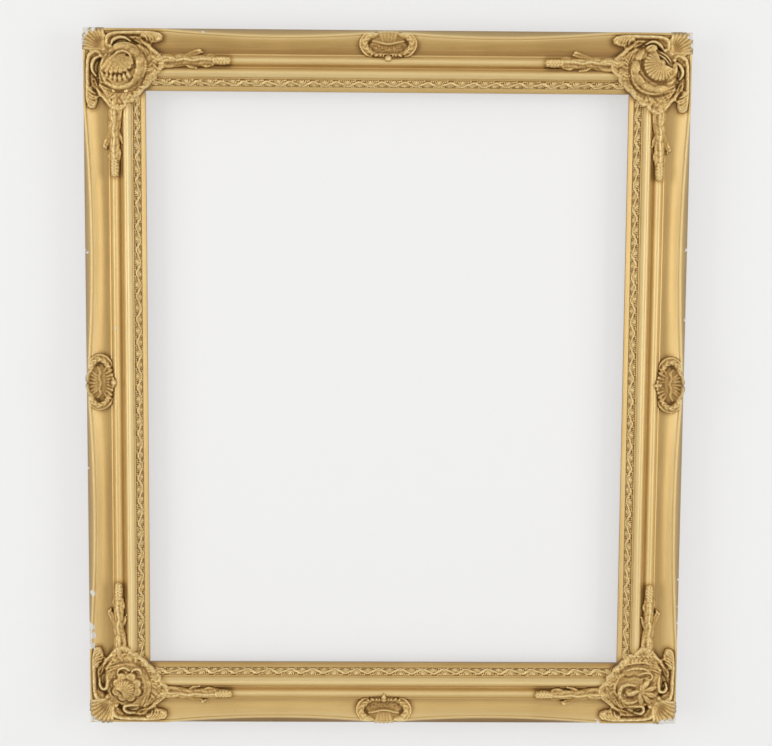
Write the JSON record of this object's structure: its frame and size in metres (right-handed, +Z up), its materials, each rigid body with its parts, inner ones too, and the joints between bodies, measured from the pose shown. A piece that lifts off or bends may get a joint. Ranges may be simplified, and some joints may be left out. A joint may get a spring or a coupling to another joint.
{
  "type": "ornate gilded picture frame",
  "caption": "Rectangular gilded picture frame: mitred swept rails with shell corners, leafy sprays, centre cartouches, rebate, D-ring hangers and turn buttons.",
  "frame": {"origin": "centre of the sight opening, on the plane of the rails' backs", "axes": "+Z up the picture, +X to the right seen from the front, +Y out of the back, towards the wall"},
  "size_m": [0.621, 0.0459, 0.723],
  "materials": {
    "gilt_wood": "antique gold leaf",
    "gilt_strip": "antique gold leaf",
    "gilt_ornament": "antique gold leaf, worn",
    "plated_steel": "zinc plated",
    "screw_steel": "zinc plated",
    "nail_steel": "plain"
  },
  "bodies": {
    "root": {"cartouche_bottom": "gilt_ornament", "cartouche_left": "gilt_ornament", "cartouche_right": "gilt_ornament", "cartouche_top": "gilt_ornament", "corner_casting_bottom_left": "gilt_ornament", "corner_casting_bottom_right": "gilt_ornament", "corner_casting_top_left": "gilt_ornament", "corner_casting_top_right": "gilt_ornament", "corner_fan_bottom_left": "gilt_ornament", "corner_fan_bottom_right": "gilt_ornament", "corner_fan_top_left": "gilt_ornament", "corner_fan_top_right": "gilt_ornament", "hanger_screws": "screw_steel", "hanger_strap_left": "plated_steel", "hanger_strap_right": "plated_steel", "leaf_strip_bottom": "gilt_strip", "leaf_strip_left": "gilt_strip", "leaf_strip_right": "gilt_strip", "leaf_strip_top": "gilt_strip", "rail_bottom": "gilt_wood", "rail_left": "gilt_wood", "rail_right": "gilt_wood", "rail_top": "gilt_wood", "spray_bottom_left_across": "gilt_ornament", "spray_bottom_left_upright": "gilt_ornament", "spray_bottom_right_across": "gilt_ornament", "spray_bottom_right_upright": "gilt_ornament", "spray_top_left_across": "gilt_ornament", "spray_top_left_upright": "gilt_ornament", "spray_top_right_across": "gilt_ornament", "spray_top_right_upright": "gilt_ornament", "turn_button_screws": "screw_steel", "v_nails": "nail_steel"},
    "ring_left": {"hanger_ring_left": "plated_steel"},
    "ring_right": {"hanger_ring_right": "plated_steel"},
    "button_bottom": {"turn_button_bottom": "plated_steel"},
    "button_left": {"turn_button_left": "plated_steel"},
    "button_top": {"turn_button_top": "plated_steel"},
    "button_right": {"turn_button_right": "plated_steel"}
  },
  "joints": [
    {"name": "ring_left_swing", "type": "hinge", "parent": "root", "child": "ring_left", "pos_m": [-0.2825, 0.00255, 0.1215], "axis": [1, 0, 0], "range_deg": [0, 180]},
    {"name": "ring_right_swing", "type": "hinge", "parent": "root", "child": "ring_right", "pos_m": [0.2825, 0.00255, 0.1215], "axis": [1, 0, 0], "range_deg": [0, 180]},
    {"name": "button_bottom_turn", "type": "hinge", "parent": "root", "child": "button_bottom", "pos_m": [0, 0.0008, -0.315], "axis": [0, 1, 0], "continuous": true},
    {"name": "button_left_turn", "type": "hinge", "parent": "root", "child": "button_left", "pos_m": [-0.264, 0.0008, 0], "axis": [0, 1, 0], "continuous": true},
    {"name": "button_top_turn", "type": "hinge", "parent": "root", "child": "button_top", "pos_m": [0, 0.0008, 0.315], "axis": [0, 1, 0], "continuous": true},
    {"name": "button_right_turn", "type": "hinge", "parent": "root", "child": "button_right", "pos_m": [0.264, 0.0008, 0], "axis": [0, 1, 0], "continuous": true}
  ]
}
